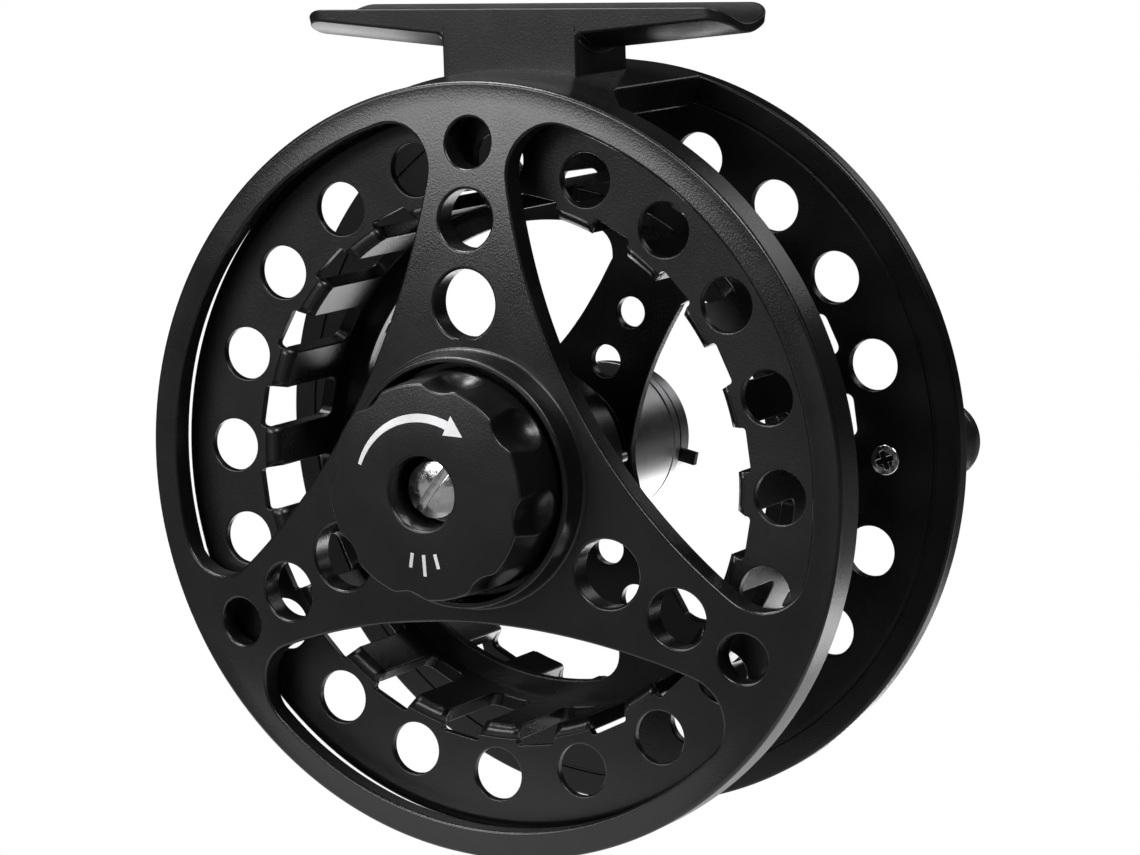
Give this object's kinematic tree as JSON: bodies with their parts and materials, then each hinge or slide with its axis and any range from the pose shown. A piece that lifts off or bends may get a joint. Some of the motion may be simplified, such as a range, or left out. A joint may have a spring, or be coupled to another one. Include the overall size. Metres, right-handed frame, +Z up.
{
  "type": "fly reel",
  "caption": "Large-arbor fly reel with a windowed frame, a drilled and slotted spool, a scalloped drag knob and a reel foot.",
  "frame": {"origin": "middle of the foot's top face, which meets the rod's reel seat", "axes": "+Z up out of the foot's top face, +Y along the spool axis from the drag knob to the handle, +X along the foot"},
  "size_m": [0.095, 0.066, 0.1025],
  "materials": {
    "black_anodised": "satin, bead-blasted black anodised",
    "black_satin": "satin black anodised",
    "black_knob": "satin black anodised",
    "steel": "plain turned",
    "spring_steel": "plain",
    "bright_screw": "polished",
    "dark_screw": "blackened",
    "brass": "plain turned",
    "friction": "woven carbon friction disc, matt",
    "brushed_bright": "brushed",
    "handle_grip": "soft satin",
    "black_latch": "satin"
  },
  "bodies": {
    "frame_body": {"frame": "black_anodised", "frame_bridge": "black_anodised", "reel_foot": "black_satin", "foot_screws": "steel", "spindle": "steel", "knob_screw": "bright_screw", "keyed_plate": "steel", "detent_spring": "spring_steel"},
    "knob_body": {"drag_knob": "black_knob", "drag_nut": "brass"},
    "pusher_body": {"thrust_pins": "steel", "spring_washers": "spring_steel", "pressure_plate": "steel"},
    "drum_body": {"drag_drum": "black_anodised", "front_friction_disc": "friction", "rear_friction_disc": "friction"},
    "spool_body": {"near_flange": "black_anodised", "far_flange": "black_anodised", "arbor": "black_anodised", "spool_web": "black_anodised", "hub_sleeve": "brushed_bright", "front_bearing": "steel", "roller_clutch": "steel", "rear_bearing": "steel", "hub_cap": "brushed_bright", "latch_spring": "spring_steel", "click_spring": "spring_steel", "handle_screw": "dark_screw", "handle_post": "steel", "handle_cap": "black_knob"},
    "handle_body": {"handle_knob": "handle_grip"},
    "latch_body": {"release_latch": "black_latch"},
    "click_body": {"click_plunger": "steel"},
    "detent_body": {"knob_detent": "steel"}
  },
  "joints": [
    {"name": "spool_spin", "type": "hinge", "parent": "frame_body", "child": "spool_body", "pos_m": [0, 0, -0.055], "axis": [0, 1, 0], "continuous": true},
    {"name": "drag_slip", "type": "hinge", "parent": "frame_body", "child": "drum_body", "pos_m": [0, 0, -0.055], "axis": [0, 1, 0], "continuous": true},
    {"name": "drag_knob_turn", "type": "hinge", "parent": "frame_body", "child": "knob_body", "pos_m": [0, 0, -0.055], "axis": [0, 1, 0], "range_deg": [0, 300]},
    {"name": "drag_pressure", "type": "slide", "parent": "frame_body", "child": "pusher_body", "axis": [0, 1, 0], "range_m": [0, 0.0004]},
    {"name": "handle_spin", "type": "hinge", "parent": "spool_body", "child": "handle_body", "pos_m": [0.03757, 0.028, -0.05648], "axis": [0, 1, 0], "continuous": true},
    {"name": "latch_press", "type": "slide", "parent": "spool_body", "child": "latch_body", "axis": [-0.9728, 0, 0.2317], "range_m": [0, 0.0009], "stiffness_N_per_m": 200, "deforming": ["latch_spring"]},
    {"name": "click_travel", "type": "slide", "parent": "spool_body", "child": "click_body", "axis": [0, 1, 0], "range_m": [0, 0.0006], "stiffness_N_per_m": 100, "deforming": ["click_spring"]},
    {"name": "detent_travel", "type": "slide", "parent": "frame_body", "child": "detent_body", "axis": [0, 1, 0], "range_m": [0, 0.0004], "stiffness_N_per_m": 100, "deforming": ["detent_spring"]}
  ],
  "couplings": [
    {"joint": "drag_pressure", "follows": "drag_knob_turn", "m_per_rad": 0.000076}
  ]
}
